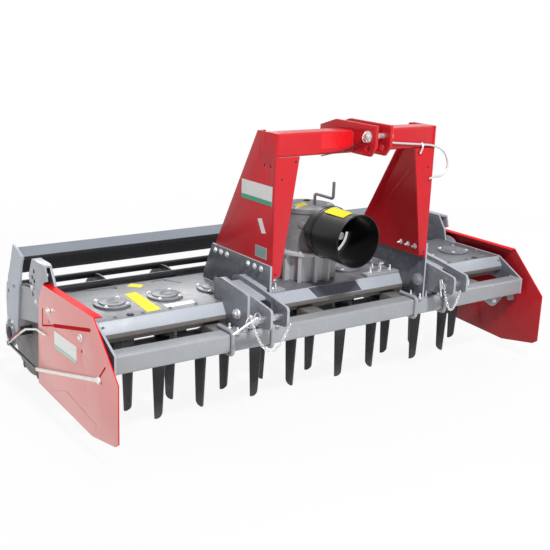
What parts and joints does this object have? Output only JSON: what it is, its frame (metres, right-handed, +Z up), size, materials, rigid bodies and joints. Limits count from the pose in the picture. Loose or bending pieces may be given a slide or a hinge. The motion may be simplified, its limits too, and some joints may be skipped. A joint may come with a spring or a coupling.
{
  "type": "power harrow",
  "caption": "Three-point mounted power harrow with counter-rotating tined rotors under a gear trough, an arched headstock, side plates and a cage roller.",
  "frame": {"origin": "on the floor under the middle of the machine's box", "axes": "+X along the machine's width to its right side seen from the front, +Y to the rear (roller), +Z up; the hitch and drive shaft face -Y"},
  "size_m": [2.426, 1.442, 1.291],
  "materials": {
    "red_paint": "gloss paint",
    "grey_paint": "satin paint",
    "cast_grey": "satin paint on casting",
    "black_steel": "black forging",
    "roller_black": "satin black paint",
    "zinc": "zinc plated",
    "bare_steel": "machined",
    "guard_plastic": "gloss black"
  },
  "bodies": {
    "frame": {"beam_clamps": "grey_paint", "beam_webs": "grey_paint", "bearing_covers": "grey_paint", "bearing_housings": "cast_grey", "depth_pins": "zinc", "depth_sector_left": "grey_paint", "depth_sector_right": "grey_paint", "end_plate_left": "grey_paint", "end_plate_right": "grey_paint", "front_beam": "grey_paint", "gear_trough": "grey_paint", "gearbox_base": "cast_grey", "gearbox_housing": "cast_grey", "headstock_cross_beam": "red_paint", "hitch_bracket_left": "grey_paint", "hitch_bracket_right": "grey_paint", "hitch_pins": "zinc", "mast_feet": "grey_paint", "mast_plate_left": "grey_paint", "mast_plate_right": "grey_paint", "pivot_pins": "grey_paint", "pto_guard": "guard_plastic", "shaft_hook": "zinc", "side_links": "zinc", "side_mounts": "grey_paint", "side_plate_left": "red_paint", "side_plate_right": "red_paint", "top_link_ears": "red_paint", "top_link_pin": "zinc", "trough_lid": "grey_paint", "upright_left": "red_paint", "upright_right": "red_paint"},
    "roller_frame": {"roller_arm_left": "grey_paint", "roller_arm_right": "grey_paint", "roller_cross_member": "grey_paint", "roller_end_left": "grey_paint", "roller_end_right": "grey_paint"},
    "roller": {"roller_bars": "roller_black", "roller_discs": "roller_black", "roller_shaft": "roller_black"},
    "pto_shaft": {"pto_shaft": "bare_steel"},
    "rotor_1_body": {"rotor_1": "black_steel"},
    "rotor_2_body": {"rotor_2": "black_steel"},
    "rotor_3_body": {"rotor_3": "black_steel"},
    "rotor_4_body": {"rotor_4": "black_steel"},
    "rotor_5_body": {"rotor_5": "black_steel"},
    "rotor_6_body": {"rotor_6": "black_steel"},
    "rotor_7_body": {"rotor_7": "black_steel"},
    "rotor_8_body": {"rotor_8": "black_steel"},
    "rotor_9_body": {"rotor_9": "black_steel"}
  },
  "joints": [
    {"name": "rotor_1_spin", "type": "hinge", "parent": "frame", "child": "rotor_1_body", "pos_m": [-1, -0.19001, 0.325], "axis": [0, 0, 1], "continuous": true},
    {"name": "rotor_2_spin", "type": "hinge", "parent": "frame", "child": "rotor_2_body", "pos_m": [-0.75, -0.19001, 0.325], "axis": [0, 0, 1], "continuous": true},
    {"name": "rotor_3_spin", "type": "hinge", "parent": "frame", "child": "rotor_3_body", "pos_m": [-0.5, -0.19001, 0.325], "axis": [0, 0, 1], "continuous": true},
    {"name": "rotor_4_spin", "type": "hinge", "parent": "frame", "child": "rotor_4_body", "pos_m": [-0.25, -0.19001, 0.325], "axis": [0, 0, 1], "continuous": true},
    {"name": "rotor_5_spin", "type": "hinge", "parent": "frame", "child": "rotor_5_body", "pos_m": [0, -0.19001, 0.325], "axis": [0, 0, 1], "continuous": true},
    {"name": "rotor_6_spin", "type": "hinge", "parent": "frame", "child": "rotor_6_body", "pos_m": [0.25, -0.19001, 0.325], "axis": [0, 0, 1], "continuous": true},
    {"name": "rotor_7_spin", "type": "hinge", "parent": "frame", "child": "rotor_7_body", "pos_m": [0.5, -0.19001, 0.325], "axis": [0, 0, 1], "continuous": true},
    {"name": "rotor_8_spin", "type": "hinge", "parent": "frame", "child": "rotor_8_body", "pos_m": [0.75, -0.19001, 0.325], "axis": [0, 0, 1], "continuous": true},
    {"name": "rotor_9_spin", "type": "hinge", "parent": "frame", "child": "rotor_9_body", "pos_m": [1, -0.19001, 0.325], "axis": [0, 0, 1], "continuous": true},
    {"name": "pto_shaft_spin", "type": "hinge", "parent": "frame", "child": "pto_shaft", "pos_m": [0, -0.45301, 0.77], "axis": [0, 1, 0], "continuous": true},
    {"name": "roller_frame_drop", "type": "hinge", "parent": "frame", "child": "roller_frame", "pos_m": [0, 0.01799, 0.47], "axis": [1, 0, 0], "range_deg": [-12, 0]},
    {"name": "roller_spin", "type": "hinge", "parent": "roller_frame", "child": "roller", "pos_m": [0, 0.49799, 0.22303], "axis": [1, 0, 0], "continuous": true}
  ],
  "couplings": [
    {"joint": "rotor_1_spin", "follows": "rotor_5_spin", "ratio": 1},
    {"joint": "rotor_2_spin", "follows": "rotor_5_spin", "ratio": -1},
    {"joint": "rotor_3_spin", "follows": "rotor_5_spin", "ratio": 1},
    {"joint": "rotor_4_spin", "follows": "rotor_5_spin", "ratio": -1},
    {"joint": "rotor_6_spin", "follows": "rotor_5_spin", "ratio": -1},
    {"joint": "rotor_7_spin", "follows": "rotor_5_spin", "ratio": 1},
    {"joint": "rotor_8_spin", "follows": "rotor_5_spin", "ratio": -1},
    {"joint": "rotor_9_spin", "follows": "rotor_5_spin", "ratio": 1},
    {"joint": "pto_shaft_spin", "follows": "rotor_5_spin", "ratio": 1.8}
  ]
}
